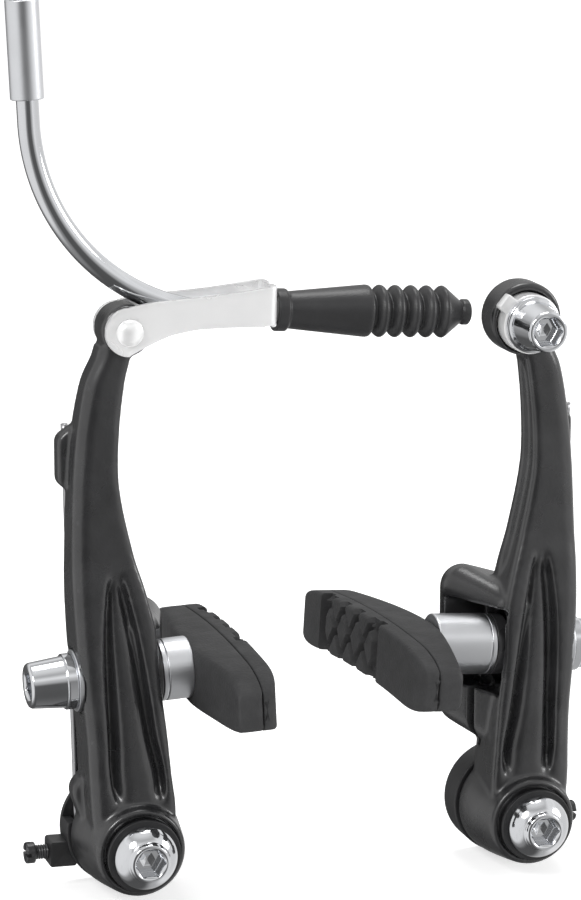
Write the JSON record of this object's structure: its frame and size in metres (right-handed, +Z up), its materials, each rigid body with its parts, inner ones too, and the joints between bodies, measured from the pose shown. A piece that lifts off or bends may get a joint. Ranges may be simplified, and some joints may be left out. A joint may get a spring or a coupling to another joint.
{
  "type": "linear-pull rim brake",
  "caption": "Linear-pull bicycle rim brake: two sprung arms with curved pads, a folded cable link, a bent cable guide and a rubber bellows boot.",
  "frame": {"origin": "midway between the two frame posts, in the plane where the pivot sleeves stand on the frame", "axes": "+X across the bike with the cable link on the -X arm, +Y towards the bike frame (the brake is seen from -Y), +Z up"},
  "size_m": [0.1241, 0.0704, 0.1729],
  "materials": {
    "arm_paint": "satin black paint on forged aluminium",
    "steel": "turned steel",
    "spring_steel": "drawn spring wire",
    "black_plastic": "moulded black plastic",
    "black_steel": "black oxide steel",
    "chrome": "chrome plate",
    "stainless": "polished stainless sheet",
    "satin_aluminium": "satin turned aluminium",
    "pad_rubber": "grained dark rubber",
    "boot_rubber": "soft black rubber"
  },
  "bodies": {
    "root": {"left_pivot_sleeve": "steel", "right_pivot_sleeve": "steel", "left_spring_housing": "black_plastic", "right_spring_housing": "black_plastic", "left_return_spring": "spring_steel", "right_return_spring": "spring_steel", "left_tension_screw": "black_steel", "right_tension_screw": "black_steel", "left_mounting_bolt": "chrome", "right_mounting_bolt": "chrome", "left_front_washer": "black_plastic", "right_front_washer": "black_plastic"},
    "left_arm": {"left_arm": "arm_paint", "left_pad_face": "pad_rubber", "left_pad_back": "pad_rubber", "left_pad_post": "steel", "left_inner_spacer": "satin_aluminium", "left_inner_cup": "black_steel", "left_inner_cone": "satin_aluminium", "left_outer_cone": "satin_aluminium", "left_outer_cup": "black_steel", "left_pad_nut": "chrome", "link_pin": "stainless"},
    "right_arm": {"right_arm": "arm_paint", "right_pad_face": "pad_rubber", "right_pad_back": "pad_rubber", "right_pad_post": "steel", "right_inner_spacer": "satin_aluminium", "right_inner_cup": "black_steel", "right_inner_cone": "satin_aluminium", "right_outer_cone": "satin_aluminium", "right_outer_cup": "black_steel", "right_pad_nut": "chrome", "cable_bolt": "chrome", "cable_washer": "stainless"},
    "link": {"cable_link": "stainless"},
    "guide": {"guide_pipe": "chrome", "guide_ferrule": "satin_aluminium", "guide_tip": "stainless", "guide_liner": "black_plastic", "rubber_boot": "boot_rubber"}
  },
  "joints": [
    {"name": "left_arm_pivot", "type": "hinge", "parent": "root", "child": "left_arm", "pos_m": [-0.04, 0, 0], "axis": [0, 1, 0], "range_deg": [-18, 6], "stiffness_Nm_per_rad": 0.25, "deforming": ["left_return_spring", "rubber_boot"]},
    {"name": "right_arm_pivot", "type": "hinge", "parent": "root", "child": "right_arm", "pos_m": [0.04, 0, 0], "axis": [0, -1, 0], "range_deg": [-18, 6], "stiffness_Nm_per_rad": 0.25, "deforming": ["right_return_spring"]},
    {"name": "link_pivot", "type": "hinge", "parent": "left_arm", "child": "link", "pos_m": [-0.04201, -0.0114, 0.09998], "axis": [0, -1, 0], "range_deg": [-35, 60]},
    {"name": "guide_swivel", "type": "hinge", "parent": "link", "child": "guide", "pos_m": [-0.01301, -0.0114, 0.10258], "axis": [1, 0, 0], "range_deg": [-12, 12]}
  ]
}
